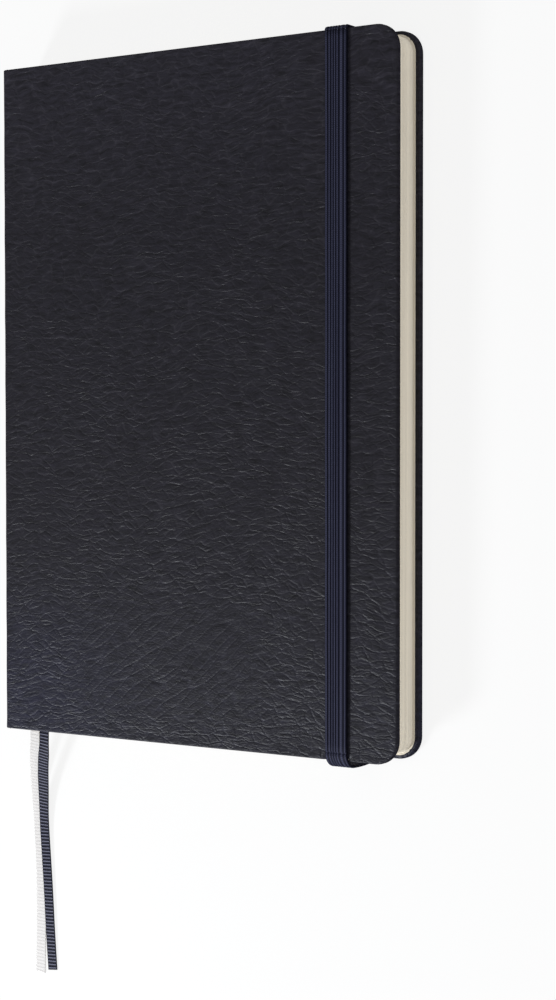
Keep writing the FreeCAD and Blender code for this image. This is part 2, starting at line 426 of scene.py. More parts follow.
def ribbonMaterial(look):
    # grosgrain: the colour follows the ribs, painted lighter on each crest as painted highlight and darker
    # in the grooves as painted shade, with single threads along them and a plain selvedge
    tree = newTree(look["cloth"])
    place = tree.surface()
    along, across, _ = tree.parts(place)
    wave = tree.math("POWER", tree.humps(along, math.pi / ribbon["ribPitch"]), ribbon["ribHighlightSharp"])
    weave = tree.noise(tree.mapped(place, ribbon["threads"]), 1.0, 2.0)
    shade = tree.line(weave, 0.20, tree.times(wave, 0.85))
    low, high = ribbon["tones"]
    # from the groove's painted shade up to the crest's painted highlight
    colour = tree.ramp(shade, (low, look["groove"]), (high, look["rib"]))
    atEdge = tree.math("GREATER_THAN", tree.size(across), ribbon["width"] / 2 - ribbon["selvedge"])
    blotch = tree.noise(place, ribbon["blotches"], 2.0)
    colour = tree.mix(atEdge, colour, look["edge"])
    colour = tree.mix(tree.times(blotch, 0.22), colour, look["groove"])
    threads = tree.math("SINE", tree.times(across, 2 * math.pi / ribbon["threadPitch"]))
    return tree.shade(colour=colour, normal=tree.bump(tree.line(threads, 0.3, weave), 0.03 * mm, 0.8),
                      roughness=tree.line(weave, -0.15, look["rough"]), specular=ribbon["specular"])


for name, look in markers.items():
    makeRibbon(name, look)


# leather covers

# the elastic's shape, which the covers give way to
elastic = {
    "ribEnds": [0.0, 0.15, 0.29, 0.405, 0.52, 0.655, 0.875, 1.0],    # shares of the width
    "samplesPerRib": 10,
    "ribDepth": 0.30 * mm,
    "bend": 0.95 * mm,
    "tailBend": 4.3 * mm,         # wide bend over the front cover's tail edge
    "backBend": 2.6 * mm,
    "tailSlack": 1.05 * mm,       # the band stands a little off the tail edges
    "tailBulge": 0.45 * mm,
    "gap": 0.05 * mm,             # under the band on the front cover
    "wider": 0.30 * mm,           # swell of the knit past the plain strip's width
    "spacing": 2.0 * mm,
    "keep": 0.12,
}

leather = {
    "spacing": 1.05 * mm,
    "skin": 0.30 * mm,
    "edgeRound": 0.45 * mm,
    "hingeRound": 0.9 * mm,       # outer corner where the spine turns into the cover
    "innerRound": 0.5 * mm,
    "turnIn": 4.2 * mm,           # the rest lies under the pastedown
    "spineThick": 1.6 * mm,
    "jointThick": 1.35 * mm,
    "relief": 0.045 * mm,
    "pleats": 5,
    "pleatHeight": 0.42 * mm,
    "channelDepth": 1.03 * mm,    # pressed into the back cover for the elastic
    "channelWall": 0.30 * mm,
    "channelRoom": 0.30 * mm,
    "crisp": math.radians(55),    # sharper folds than this stay sharp, as at the skin's cut edges
    "calmEdge": (0.6 * mm, 3 * mm),    # the relief fades out towards the free edges
    "calmSpine": 6 * mm,
    "beyondBand": 1.0 * mm,
    "pressRoom": 1.6 * mm,        # the tail edge eases back to straight beside the elastic
}


def coverRows(halfHeight, radius, spacing, cornerSteps):
    # heights of the grid's rows and each row's retreat from the fore-edge: inside a corner the
    # row ends on the corner's arc, so its retreat is radius times one minus the arc's cosine
    angle = steps(math.pi / 2, 0, cornerSteps + 1)
    straight = halfHeight - radius
    middle = steps(-straight, straight, int(2 * straight / spacing) + 1)[1:-1]
    beyond = straight + radius * np.sin(angle)
    y = join([-beyond, middle, beyond[::-1]])
    corner = join([angle, np.zeros(len(middle)), angle[::-1]])
    return y, radius * (1 - np.cos(corner)), corner


def waves(u, v):
    # slow unevenness of the skin: a few crossed sines whose phases wander, between about -1 and 1
    warpU = u + 3.1 * mm * np.sin(v / (17 * mm)) + 1.3 * mm * np.sin(v / (5.3 * mm) + 1)
    warpV = v + 2.7 * mm * np.sin(u / (13 * mm)) + 1.1 * mm * np.sin(u / (4.1 * mm) + 2)
    total = np.sin(warpU / (5.9 * mm)) * np.sin(warpV / (3.7 * mm))
    total += 0.7 * np.sin(warpU / (2.3 * mm) + 2 * np.sin(warpV / (9 * mm))) * np.sin(warpV / (1.6 * mm))
    return total / 1.7


def channelSpan(beyond):
    # the elastic's channel across the back cover, wider by the same on both sides
    low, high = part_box("elastic_band")
    room = leather["channelRoom"] + beyond
    return [low.x - room, high.x + room]


def channel(x, y):
    # depth of the skin pressed in for the elastic, from its slit out to the head or tail edge
    low, high = channelSpan(0)
    wall = leather["channelWall"]
    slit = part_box("elastic_anchor_head")[1].y
    off = np.abs(x - (low + high) / 2)
    half = (high - low) / 2
    pressed = smooth(off, half + wall, half) * smooth(np.abs(y), slit - 2 * wall, slit)
    return leather["channelDepth"] * pressed


def tailPress(x, y):
    # how far the elastic pulls the front cover's tail edge in: the sagitta of its own bend there
    low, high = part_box("elastic_band")
    bend, thick = elastic["tailBend"], high.z - book["top"] - elastic["gap"]
    centre = book["halfHeight"] + elastic["gap"] + thick / 2 + elastic["tailSlack"] - bend
    inner = bend - thick / 2
    past = np.clip(-y - centre, 0, inner * 0.75)
    off = np.abs(x - (low.x + high.x) / 2)
    half = (high.x - low.x) / 2
    return (inner - np.sqrt(inner ** 2 - past ** 2)) * smooth(off, half + leather["pressRoom"], half)


def cornersOf(grid):
    # the four corner values of each cell of a grid
    return np.stack([grid[:-1, :-1], grid[:-1, 1:], grid[1:, 1:], grid[1:, :-1]], 2)


def spaced(places, spacing):
    # values at most the spacing apart that include all the places
    runs = [steps(a, b, math.ceil((b - a) / spacing) + 1)[:-1] for a, b in zip(places[:-1], places[1:])]
    return join(runs + [places[-1:]])


def makeLeather(name, front, nodes, material):
    # The skin's outer face is a grid: across, it runs from the middle of the spine, round the tight
    # hinge corner and over the cover; along, from tail to head. Its three free sides then follow one
    # profile: a rounded edge, the cover's thickness, an inner rounding and the turned-in margin.
    edge = leather["edgeRound"]
    thick, spineX = book["coverThick"], book["spineX"]
    halfHeight, radius = book["halfHeight"], book["cornerRadius"]
    y, retreat, corner = coverRows(halfHeight - edge, radius - edge, leather["spacing"], 12)
    turn = leather["hingeRound"]
    bendX = spineX + turn
    spineZ = steps(book["top"] / 2, turn, 9)[:-1]
    arc = steps(0, math.pi / 2, 9)
    foreEdge = book["foreX"] - edge
    bandEnd = channelSpan(leather["beyondBand"])[1]
    walls = [] if front else sorted(channelSpan(0) + channelSpan(leather["channelWall"]))
    flatX = spaced([bendX] + walls + [foreEdge], leather["spacing"])[1:]
    x0 = join([np.full(len(spineZ), spineX), bendX - turn * np.cos(arc), flatX])
    z0 = join([spineZ, turn - turn * np.sin(arc), np.zeros(len(flatX))])
    nx = join([np.full(len(spineZ), -1.0), -np.cos(arc), np.zeros(len(flatX))])
    nz = join([np.zeros(len(spineZ)), -np.sin(arc), np.full(len(flatX), -1.0)])
    # rows that end in a corner draw in only beyond the elastic
    pull = np.clip((x0 - bandEnd) / (foreEdge - bandEnd), 0, 1)
    x = x0[:, None] - pull[:, None] * retreat[None, :]
    columns, rows = x.shape
    yy = np.broadcast_to(y[None, :], x.shape)
    zz = np.broadcast_to(z0[:, None], x.shape)
    spineRun = book["top"] / 2 - turn
    faceStart = spineRun + turn * math.pi / 2
    lengthAlong = join([book["top"] / 2 - spineZ, spineRun + turn * arc])
    u = faceStart + x - bendX
    u[:len(lengthAlong)] = lengthAlong[:, None]
    sign = 1.0 if front else -1.0
    calm = leather["calmEdge"]
    fade = smooth(halfHeight - np.abs(yy), *calm) * smooth(book["foreX"] - x, *calm)
    fade = fade * smooth(u, 0, leather["calmSpine"])
    push = leather["relief"] * (waves(u * sign, yy) - 1.0) * fade
    pressed = tailPress(x, yy) if front else channel(x, yy)
    grid = np.stack([x + nx[:, None] * push, yy, zz + nz[:, None] * push + pressed], 2)

    ring = gridRim(columns, rows)
    base = np.stack([x, yy, zz + pressed], 2).reshape(-1, 3)[ring]
    ringColumn, ringRow = ring // rows, ring % rows
    onSide = ringColumn == columns - 1
    tailward = np.where(ringRow < rows / 2, -1.0, 1.0)
    angle = np.where(onSide, corner[ringRow], math.pi / 2)
    level = np.zeros(len(ring))
    out = np.stack([np.cos(angle) * onSide, tailward * np.where(onSide, np.sin(angle), 1.0), level], 1)
    normal = np.stack([nx[ringColumn], level, nz[ringColumn]], 1)
    ringU = u.reshape(-1)[ring]
    boardStart = faceStart + book["boardX"] - bendX
    spineThick, jointThick = leather["spineThick"], leather["jointThick"]
    atJoint = smooth(ringU, spineRun - 1 * mm, spineRun)
    atBoard = smooth(ringU, boardStart - 1.2 * mm, boardStart + 0.2 * mm)
    depth = spineThick + (jointThick - spineThick) * atJoint + (thick - jointThick) * atBoard
    depth = depth - pressed.reshape(-1)[ring]
    inner = leather["innerRound"]
    bend = steps(0, math.pi / 2, 6)[1:]
    outA = edge * np.sin(bend)
    outB = edge * (1 - np.cos(bend))
    wall = steps(0, 1, 4)[1:]
    inA = edge - inner * (1 - np.cos(bend))
    inB = inner * (1 - np.sin(bend))
    margin = steps(0, 1, 7)[1:]
    flatA = edge - inner - margin * (leather["turnIn"] + edge - inner)
    a = join([outA, np.full(len(wall), edge), inA, flatA])
    b = np.tile(np.append(outB, np.zeros(len(wall) + len(bend) + len(margin))), (len(ring), 1))
    w0, w1 = len(outB), len(outB) + len(wall)
    b[:, w0:w1] = edge + wall[None, :] * (depth[:, None] - inner - edge)
    b[:, w1:w1 + len(bend)] = depth[:, None] - inB[None, :]
    b[:, w1 + len(bend):] = depth[:, None]
    # gathered pleats where the margin turns in round a corner
    inCorner = onSide & (corner[ringRow] > 0)
    gather = np.abs(np.sin(angle * 2 * leather["pleats"])) ** 0.5
    gather = gather * np.sin(np.clip(angle, 0, math.pi / 2) * 2) * inCorner
    rise = join([np.zeros(w1 + 1), steps(0, 1, len(bend) - 1), [0.5], np.zeros(len(margin) - 1)])
    b = b + gather[:, None] * rise[None, :] * leather["pleatHeight"]
    strip = base[:, None, :] + out[:, None, :] * a[None, :, None] - normal[:, None, :] * b[:, :, None]

    faceQuads = gridQuads(columns, rows)
    flatUv = np.stack([u.reshape(-1), yy.reshape(-1)], 1)
    own = columns * rows + np.arange(b.size).reshape(b.shape)
    stripQuads = cornersOf(join([ring[:, None], own], 1)).reshape(-1, 4)
    run = pathLength(np.stack([np.append(0, a), np.append(0, b[0])], 1))
    stripUv = cornersOf(flatUv[ring][:, None, :] + out[:, None, :2] * run[None, :, None]).reshape(-1, 4, 2)
    points = join([grid.reshape(-1, 3), strip.reshape(-1, 3)])
    quads = join([faceQuads, stripQuads])
    uv = join([flatUv[faceQuads], stripUv])
    uv[:, :, 0] *= sign
    if front:
        points[:, 2] = book["top"] - points[:, 2]
        quads, uv = quads[:, ::-1], uv[:, ::-1]
    piece = makePiece(name, points, quads, uv)
    middle = piece.data.polygons[(columns // 2) * (rows - 1) + rows // 2]
    if middle.normal.z * sign < 0:
        piece.data.flip_normals()
    wallModifier = piece.modifiers.new("thickness", "SOLIDIFY")
    wallModifier.thickness = leather["skin"]
    wallModifier.offset = -1
    wallModifier.use_rim = True
    bpy.context.view_layer.objects.active = piece
    with bpy.context.temp_override(object=piece, active_object=piece, selected_objects=[piece]):
        bpy.ops.object.modifier_apply(modifier="thickness")
    piece.data.set_sharp_from_angle(angle=leather["crisp"])
    giveTo(piece, material, nodes)
    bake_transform(piece)
    print(name, len(piece.data.polygons), "faces")


grain = {
    "drift": (20.0, 12.0 * mm),         # slow wander of the grain's direction: scale, reach
    "wander": (170.0, 3.0 * mm),
    "pebbles": (255.0, 0.92, 1.80),     # cells a metre, then across and along
    "fine": (620.0, 0.80, 1.80),
    "slant": math.radians(-5),
    "calmWander": (150.0, 1.5 * mm),
    "leanedPebbles": (205.0, 0.42, 1.80),
    "lean": math.radians(-37),
    "creaseSharp": 7.0,
    "fineSharp": 4.5,
    "fineShare": 0.30,
    "wrinkles": (80, 260, 1),
    "wrinkleTurn": math.radians(10),
    "wrinkleSharp": 16.0,
    "wrinkleShare": (-0.40, 0.55),      # the less in the leaned part
    "streaks": (190, 900, 1),
    "streakShare": 0.35,
    "pores": 4200.0,
    "poreShare": 0.06,
    "patches": 34.0,
    "patchDepth": (1.2, 0.35),          # gain and offset on the patches
    "fading": 210.0,
    "creaseFade": (2.2, -0.35),
    "tailDepth": (0.28, 0.80),
    "bump": 0.095 * mm,
    # where things change on the skin, in millimetres from nothing to full
    "leanedAlong": [(-56, -68), (-100, -92)],
    "leanedAcross": [(28, 48), (114, 94)],
    "tailward": (-25, -112),
    "headward": (40, 108),
    # the corner that gets a painted bluish sheen
    "blueSheenAlong": (-50, -95),
    "blueSheenAcross": (75, 15),
    # colours of a crease and of the skin beside it; the crease is painted lighter, as painted highlight on
    # its edges, and towards the tail both lighter still, as painted sheen
    "worn": [(0.0, (0.026, 0.026, 0.037)), (0.75, (0.0120, 0.0116, 0.0175))],
    "plain": [(0.0, (0.0200, 0.0188, 0.0245)), (0.75, (0.0102, 0.0094, 0.0138))],
    "blotch": (0.0110, 0.0105, 0.0170),
    "blotchShare": 0.30,
    # a bluish sheen painted into the corner by the spine's tail
    "blueSheen": (0.0125, 0.0130, 0.0285),
    "blueSheenShare": 0.55,
    "streakTone": (2.5, -0.22),
    # how much paler the head is painted, as painted light
    "headPaintedLight": (0.34, 1.0),
    "roughness": (0.08, 0.36),
    "patchRoughness": 0.12,
    "specular": 0.17,
}


def warpPlace(tree, place, scale, reach):
    # the place moved by a noise colour's offset from its middle
    drift = tree.noise(place, scale, 2.0, output="Color")
    centred = tree.add("VectorMath", {0: drift, 1: (0.5, 0.5, 0.5)}, operation="SUBTRACT")
    shift = tree.add("VectorMath", {0: centred, "Scale": reach}, operation="SCALE")
    return tree.add("VectorMath", {0: place, 1: shift}, operation="ADD")


def creases(tree, source, size, sharp, turn):
    # the edges between cells: 0 on an edge, and levelled off towards 1 inside a cell
    scale, wide, tall = size
    stretched = tree.mapped(tree.mapped(source, (1, 1, 1), turn), (wide, tall, 1))
    cells = tree.add("TexVoronoi", {"Vector": stretched, "Scale": scale}, "Distance",
                     voronoi_dimensions="2D", feature="DISTANCE_TO_EDGE")
    return tree.math("SMOOTH_MIN", tree.times(cells, sharp), 1.0, 0.6)


def leatherMaterial():
    # drawn-out pebbles parted by thin creases that fade in and out, finer creases inside them, long
    # wandering wrinkles, and all of it deeper towards the tail, where the cover is handled. The creases are
    # painted lighter than the skin as painted highlights, and the skin towards the tail as painted sheen
    tree = newTree("grainedLeather")
    place = tree.surface()
    across, along, _ = tree.parts(place)

    def between(value, ends):
        return tree.range(value, ends[0] * mm, ends[1] * mm, kind="SMOOTHSTEP")

    drifted = warpPlace(tree, place, *grain["drift"])
    calm = warpPlace(tree, drifted, *grain["calmWander"])
    warp = warpPlace(tree, drifted, *grain["wander"])
    level = creases(tree, warp, grain["pebbles"], grain["creaseSharp"], grain["slant"])
    # in the handled part of the cover, between spine and middle, the creases climb towards the fore-edge
    leaned = creases(tree, calm, grain["leanedPebbles"], grain["creaseSharp"], grain["lean"])
    inPart = 1.0
    for value, key in ((along, "leanedAlong"), (across, "leanedAcross")):
        for ends in grain[key]:
            inPart = tree.times(inPart, between(value, ends))
    pebble = tree.line(tree.math("SUBTRACT", leaned, level), inPart, level)
    finePebble = creases(tree, warp, grain["fine"], grain["fineSharp"], grain["slant"])
    folds = tree.noise(tree.mapped(warp, grain["wrinkles"], grain["wrinkleTurn"]), 1.0, 2.5, 0.5, 0.6)
    ridge = tree.size(tree.math("SUBTRACT", folds, 0.5))
    wrinkle = tree.math("SMOOTH_MIN", tree.times(ridge, grain["wrinkleSharp"]), 1.0, 0.5)
    patch = tree.noise(place, grain["patches"])
    fade = tree.line(tree.noise(place, grain["fading"], 2.0), *grain["creaseFade"], clamp=True)
    tailward, headward = between(along, grain["tailward"]), between(along, grain["headward"])

    height = tree.line(finePebble, grain["fineShare"], tree.times(pebble, fade))
    height = tree.math("ADD", tree.times(wrinkle, tree.line(inPart, *grain["wrinkleShare"])), height)
    depth = tree.times(tree.line(patch, *grain["patchDepth"]), tree.line(tailward, *grain["tailDepth"]))
    # short level streaks in the skin between the creases, and pores
    streak = tree.noise(tree.mapped(warp, grain["streaks"]), 1.0, 3.0, 0.6)
    height = tree.line(streak, grain["streakShare"], tree.times(height, depth))
    height = tree.line(tree.noise(place, grain["pores"], 2.0), grain["poreShare"], height)

    # crest is 0 on a crease, where the colour is painted lighter as painted highlight
    crest = tree.line(pebble, 0.5, tree.times(wrinkle, 0.5), clamp=True)
    # towards the tail the skin and its creases are painted lighter, as painted sheen
    colour = tree.mix(tailward, tree.ramp(crest, *grain["plain"]), tree.ramp(crest, *grain["worn"]))
    colour = tree.mix(tree.times(patch, grain["blotchShare"]), colour, grain["blotch"])
    # the corner by the spine's tail is painted bluer, as a painted bluish sheen, and the head painted a
    # little paler, as painted light
    blueSheenMask = tree.times(between(along, grain["blueSheenAlong"]), between(across, grain["blueSheenAcross"]))
    colour = tree.mix(tree.times(blueSheenMask, grain["blueSheenShare"]), colour, grain["blueSheen"])
    # the grain's streaks, times the head's painted lightening
    tone = tree.times(tree.line(streak, *grain["streakTone"]), tree.line(headward, *grain["headPaintedLight"]))
    colour = tree.add("VectorMath", {0: colour, "Scale": tone}, operation="SCALE")
    rough = tree.line(patch, grain["patchRoughness"], tree.line(crest, *grain["roughness"]))
    return tree.shade(colour=colour, roughness=rough, normal=tree.bump(height, grain["bump"], 1.0),
                      specular=grain["specular"])


grainedLeather = leatherMaterial()
backBody, spineBody, frontBody = "book_block_and_back", "spine", "front_cover"
makeLeather("front_cover_leather", True, ["front_leather", "front_joint_leather", "spine_leather"],
            grainedLeather)
makeLeather("back_cover_leather", False, ["back_leather", "rear_joint_leather"],
            grainedLeather)


# page block

pages = {
    "leaves": 16,
    "stationsPerLeaf": 3,
    "groove": 0.045 * mm,
    "uneven": 0.05 * mm,
    "foldRound": 0.4 * mm,
    "wanderOver": (20, 90),       # millimetres along the edge
}


def plateOutline(x0, x1, halfHeight, radius, spacing, cornerSteps):
    # closed outline of a plate, from the spine's tail corner round the fore-edge and back up the spine,
    # with each point's outward direction
    y, retreat, corner = coverRows(halfHeight, radius, spacing, cornerSteps)
    bottomX = steps(x0, x1 - radius, int((x1 - radius - x0) / spacing) + 1)[:-1]
    topX = bottomX[::-1]
    side = np.stack([x1 - retreat, y], 1)
    sideOut = np.stack([np.cos(corner), np.sign(y) * np.sin(corner)], 1)
    spineY = steps(halfHeight, -halfHeight, int(2 * halfHeight / spacing) + 1)[1:-1]
    bottom, top, back = [np.stack(np.broadcast_arrays(*ends), 1)
                         for ends in ((bottomX, -halfHeight), (topX, halfHeight), (x0, spineY))]
    out = [[[0, -1]] * len(bottom), sideOut, [[0, 1]] * len(top), [[-1, 0]] * len(back)]
    return join([bottom, side, top, back]), join(out)


def makeSection(number, material):
    # A folded section: the outline of its leaves carried up through their thickness, where the outline
    # steps in at each gap between leaves and each leaf stands out by its own wandering amount.
    node = "section_%02d" % number
    low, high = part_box(node)
    line, out = plateOutline(low.x, high.x, high.y, book["pageRadius"], 4 * mm, 8)
    rng = np.random.default_rng(40 + number)
    leaves, per = pages["leaves"], pages["stationsPerLeaf"]
    z = steps(low.z, high.z, leaves * per + 1)
    inLeaf = np.arange(len(z)) % per
    leafNumber = np.minimum(np.arange(len(z)) // per, leaves - 1)
    along = pathLength(line)
    own = rng.uniform(0, 1, leaves)[leafNumber]
    phase = rng.uniform(0, 6.28, leaves)[leafNumber]
    stretch = rng.uniform(*pages["wanderOver"], leaves)[leafNumber] * mm
    wander = 0.5 + 0.5 * np.sin(along[:, None] / stretch[None, :] + phase[None, :])
    step = pages["uneven"] * (0.7 * own[None, :] + 0.3 * wander)
    step = step + pages["groove"] * (inLeaf == 0)[None, :]
    fromMiddle = np.abs(z - (low.z + high.z) / 2) / ((high.z - low.z) / 2)
    fold = pages["foldRound"] * (1 - np.sqrt(np.clip(1 - np.clip(fromMiddle, 0, 1) ** 4, 0, 1)))
    atSpine = (out[:, 0] < -0.5).astype(float)
    step = step * (1 - atSpine[:, None]) + fold[None, :] * atSpine[:, None]
    ring = join([line[:, None, :] - out[:, None, :] * step[:, :, None],
                 np.broadcast_to(z[None, :, None], (len(line), len(z), 1))], 2)
    quads = gridQuads(len(line), len(z), wrapRows=True)
    ringPoints = ring.reshape(-1, 3)
    # the flat faces are quads between the ring and shrunken copies of it, closed on the middle line
    points, blocks, count = [ringPoints], [quads], len(ringPoints)
    around = np.arange(len(line))
    for station in (0, len(z) - 1):
        previous = around * len(z) + station
        edgePoints = ringPoints[previous]
        middle = edgePoints * (0, 0.9, 1)
        middle[:, 0] = edgePoints[:, 0].mean()
        for share in (0.9, 0.45, 0.0):
            target = middle + (edgePoints - middle) * share
            target[:, 2] = z[station]
            current = count + around
            points.append(target)
            count += len(line)
            block = np.stack([previous, current, np.roll(current, -1), np.roll(previous, -1)], 1)
            blocks.append(block if station else block[:, ::-1])
            previous = current
    piece = makePiece("leaves_%02d" % number, join(points), join(blocks), smooth=False)
    tidyMesh(piece, 0.002 * mm)
    outwards(piece)
    giveTo(piece, material, [node], backBody)


def tidyMesh(piece, distance):
    # joins points that coincide and drops the faces that this empties
    work = bmesh.new()
    work.from_mesh(piece.data)
    bmesh.ops.remove_doubles(work, verts=work.verts, dist=distance)
    bmesh.ops.dissolve_degenerate(work, edges=work.edges, dist=distance / 10)
    bmesh.ops.recalc_face_normals(work, faces=work.faces)
    work.to_mesh(piece.data)
    work.free()


paper = {
    "fibre": 2600.0,
    "cloud": 45.0,
    "streaks": (14, 14, 2200),    # noise a metre, so they run along the leaves
    "bands": (5, 5, 620),
    "bandShare": 0.75,
    "tones": (0.41, 0.57),
    "flatFrom": 0.8,              # an upward or downward facing above this is a leaf's face
    "ink": (0.22, 0.27, 0.36),
    "inkShare": 0.55,
    "rows": (7.0 * mm, 0.16 * mm),       # pitch and line width
    "columns": (15.0 * mm, 0.22 * mm),
    "ruledTo": (60.3 * mm, 91.1 * mm),
}


def paperMaterial(name, colour, edgeTone, ruled=False):
    # uncoated book paper: faint fibre mottling, and on the cut edges streaks that run along the leaves
    tree = newTree(name)
    place = tree.inObject()
    fibre = tree.noise(place, paper["fibre"])
    streak = tree.noise(tree.mapped(place, paper["streaks"]), 1.0, 3.0, 0.65)
    broad = tree.noise(tree.mapped(place, paper["bands"]), 1.0, 1.0)
    upward = tree.parts(tree.add("NewGeometry", {}, "Normal"))[2]
    onFace = tree.math("GREATER_THAN", tree.size(upward), paper["flatFrom"])
    lines = tree.line(broad, paper["bandShare"], tree.times(streak, 1 - paper["bandShare"]))
    low, high = paper["tones"]
    edgeColour = tree.ramp(lines, (low, toned(colour, edgeTone)), (high, colour))
    faceColour = tree.ramp(tree.noise(place, paper["cloud"]), (0.2, toned(colour, 0.96)), (0.8, colour))
    if ruled:
        faceColour = ruling(tree, place, faceColour)
    height = tree.line(streak, 0.5, fibre)
    return tree.shade(colour=tree.mix(onFace, edgeColour, faceColour), specular=0.2,
                      roughness=tree.line(fibre, 0.1, 0.82), normal=tree.bump(height, 0.015 * mm, 0.7))


def ruling(tree, place, sheet):
    # a plain log table: fine row lines, and upright lines that part the columns
    x, y, _ = tree.parts(place)

    def lineEvery(value, pitch, width):
        turn = tree.math("FRACT", tree.line(value, 1 / pitch, 100.5))
        return tree.math("LESS_THAN", tree.size(tree.math("SUBTRACT", turn, 0.5)), width / pitch / 2)

    def within(value, reach):
        return tree.math("LESS_THAN", tree.size(value), reach)

    inside = tree.times(within(x, paper["ruledTo"][0]), within(y, paper["ruledTo"][1]))
    both = tree.math("MAXIMUM", lineEvery(y, *paper["rows"]), lineEvery(x, *paper["columns"]))
    return tree.mix(tree.times(tree.times(both, inside), paper["inkShare"]), sheet, paper["ink"])


pageTone = (0.91, 0.855, 0.745)
pagePaper = paperMaterial("pagePaper", pageTone, 0.64)
ruledPaper = paperMaterial("ruledPagePaper", pageTone, 0.64, ruled=True)
endPaper = paperMaterial("endPaper", (0.76, 0.70, 0.59), 0.9)
for number in range(1, 11):
    makeSection(number, ruledPaper if number == 10 else pagePaper)
print("page block made")


# front flyleaf


def makeFlyleaf(material):
    # one thin leaf from its glued margin to the fore-edge: a plate whose rows end on the corner's arc
    low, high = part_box("front_flyleaf")
    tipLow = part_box("front_endpaper_tip")[0]
    y, retreat, corner = coverRows(high.y, book["pageRadius"], 6 * mm, 8)
    near = steps(tipLow.x, low.x + 10 * mm, 36)
    share = steps(0, 1, 40)[1:]
    reach = high.x - near[-1]
    x = join([np.broadcast_to(near[:, None], (len(near), len(y))),
              near[-1] + share[:, None] * (reach - retreat)[None, :]], 0)
    columns, rows = x.shape
    yy = np.broadcast_to(y[None, :], x.shape)
    layers = [np.stack([x, yy, np.full(x.shape, level)], 2).reshape(-1, 3) for level in (low.z, high.z)]
    lower = gridQuads(columns, rows)
    ring = gridRim(columns, rows, closed=True)
    nextRing = np.roll(ring, -1)
    count = columns * rows
    rim = np.stack([ring, nextRing, nextRing + count, ring + count], 1)
    quads = join([lower[:, ::-1], lower + count, rim])
    piece = makePiece("flyleaf_sheet", join(layers), quads)
    tidyMesh(piece, 0.002 * mm)
    outwards(piece)
    for polygon in piece.data.polygons:
        polygon.use_smooth = abs(polygon.normal.z) > 0.5
    giveTo(piece, material, ["front_flyleaf", "front_endpaper_tip"])
    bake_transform(piece)


makeFlyleaf(endPaper)
print("flyleaf made")


# elastic closure

def stripPath(corners, radii, spacing):
    # a polyline in the YZ plane with each corner rounded by its own arc, and its outward normals
    points, normals = [], []
    place = np.array(corners[0], float)
    for k in range(1, len(corners)):
        here = np.array(corners[k], float)
        ahead = here - place
        length = np.linalg.norm(ahead)
        ahead /= length
        last = k == len(corners) - 1
        radius = 0 if last else radii[k - 1]
        reach = length - radius
        count = max(2, int(reach / spacing) + 1)
        points.append(place + steps(0, reach, count)[:, None] * ahead)
        normals.append([[ahead[1], -ahead[0]]] * count)
        if last:
            break
        nextAhead = np.array(corners[k + 1], float) - here
        nextAhead /= np.linalg.norm(nextAhead)
        turn = steps(0, math.pi / 2, 9)[1:-1]
        centre = here - ahead * radius + nextAhead * radius
        away = np.sin(turn)[:, None] * ahead - np.cos(turn)[:, None] * nextAhead
        points.append(centre + radius * away)
        normals.append(away)
        place = here + nextAhead * radius
    return join(points), join(normals)


def makeElastic(material):
    # A ribbed section carried round the book. The section's outer side is the band's half thickness
    # less a groove between ribs: ribDepth times one minus the square root of the sine across the rib.
    low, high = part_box("elastic_band")
    thick = high.z - book["top"] - elastic["gap"]
    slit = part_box("elastic_anchor_head")[1].y
    y, bottom, topZ = high.y - thick / 2, low.z + thick / 2, high.z - thick / 2
    tailY = -y - elastic["tailSlack"]
    corners = [(-slit, bottom), (tailY, bottom), (tailY, topZ), (y, topZ), (y, bottom), (slit, bottom)]
    radii = [elastic["backBend"], elastic["tailBend"], elastic["bend"], elastic["bend"]]
    line, normals = stripPath(corners, radii, elastic["spacing"])
    # the tail side bulges: out by tailBulge times one minus the square of the share of its half height
    share = np.clip((line[:, 1] - book["top"] / 2) / (book["top"] / 2), -1, 1)
    line[:, 0] -= elastic["tailBulge"] * (1 - share ** 2) * (line[:, 0] < -book["halfHeight"])
    if (normals[0] @ np.array([0, -1.0])) < 0:
        normals = -normals
    width = high.x - low.x + elastic["wider"]
    ribs, per = len(elastic["ribEnds"]) - 1, elastic["samplesPerRib"]
    ribCount = np.arange(ribs + 1)
    ribOf = steps(0, ribs, ribs * per + 1)
    across = np.interp(ribOf, ribCount, elastic["ribEnds"]) - 0.5
    sine = np.abs(np.sin(np.pi * ribOf))
    outer = thick / 2 - elastic["ribDepth"] * (1 - np.sqrt(sine))
    ribUnder = steps(ribs, 0, ribs * 4 + 1)
    under = np.interp(ribUnder, ribCount, elastic["ribEnds"]) - 0.5
    inner = -thick / 2 + 0.4 * elastic["ribDepth"] * (1 - np.sqrt(np.abs(np.sin(np.pi * ribUnder))))
    sectionX = join([across, under]) * width
    sectionH = join([outer, inner])
    along = pathLength(line)
    wobble = 1 + 0.006 * np.sin(along / (9 * mm)) + 0.004 * np.sin(along / (3.1 * mm))
    centreX = (low.x + high.x) / 2
    points = np.stack([
        centreX + wobble[:, None] * sectionX[None, :],
        line[:, :1] + normals[:, :1] * sectionH[None, :],
        line[:, 1:] + normals[:, 1:] * sectionH[None, :],
    ], 2)
    rows, columns = points.shape[:2]
    quads = gridQuads(rows, columns, wrapColumns=True)
    uv = gridUv(along, join([ribOf, ribUnder, [0.0]]))
    # each end closes with quads between its outer and inner side
    ends = []
    outerIds = np.arange(ribs * per + 1)
    innerIds = ribs * per + 1 + np.round((ribs * per - outerIds) / per * 4).astype(int)
    for row in (0, rows - 1):
        cap = row * columns + np.stack([outerIds[:-1], outerIds[1:], innerIds[1:], innerIds[:-1]], 1)
        ends.append(cap if row else cap[:, ::-1])
    uv = join([uv, np.zeros((2 * len(outerIds) - 2, 4, 2))])
    piece = makePiece("elastic_strap", points.reshape(-1, 3), join([quads] + ends), uv)
    outwards(piece)
    giveTo(piece, material, ["elastic_band"], "elastic")
    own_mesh(piece)
    print("elastic made", rows, "stations")


